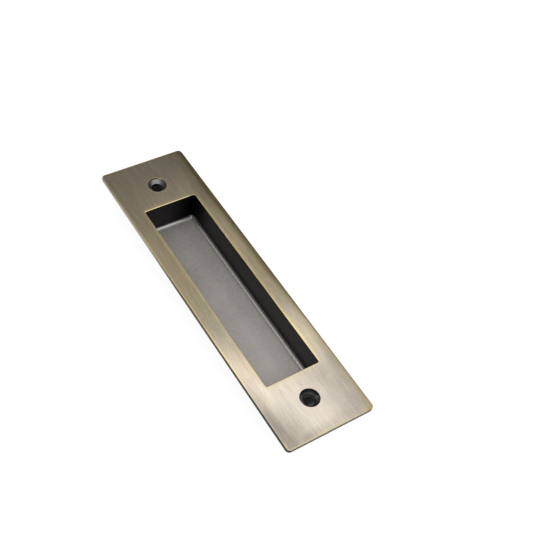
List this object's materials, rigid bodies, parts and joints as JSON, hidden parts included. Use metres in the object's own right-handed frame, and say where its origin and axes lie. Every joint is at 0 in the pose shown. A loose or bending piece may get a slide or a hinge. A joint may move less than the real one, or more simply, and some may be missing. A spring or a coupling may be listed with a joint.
{
  "type": "recessed door pull",
  "caption": "Rectangular flush pull for a sliding door: a cast plate and finger cup with countersunk screw holes, in brushed antique brass.",
  "frame": {"origin": "on the door's surface, which is the back of the plate, midway between the two screw holes", "axes": "+Z out of the door towards the hand, +Y along the pull, +X across it"},
  "size_m": [0.052, 0.2, 0.02],
  "materials": {
    "antique_brass": "antique brass plating, brushed lengthwise on the face, worn bright along the edges and left dark on the sides, in the recess and in the screw holes"
  },
  "bodies": {
    "root": {"pull_casting": "antique_brass"}
  },
  "joints": []
}
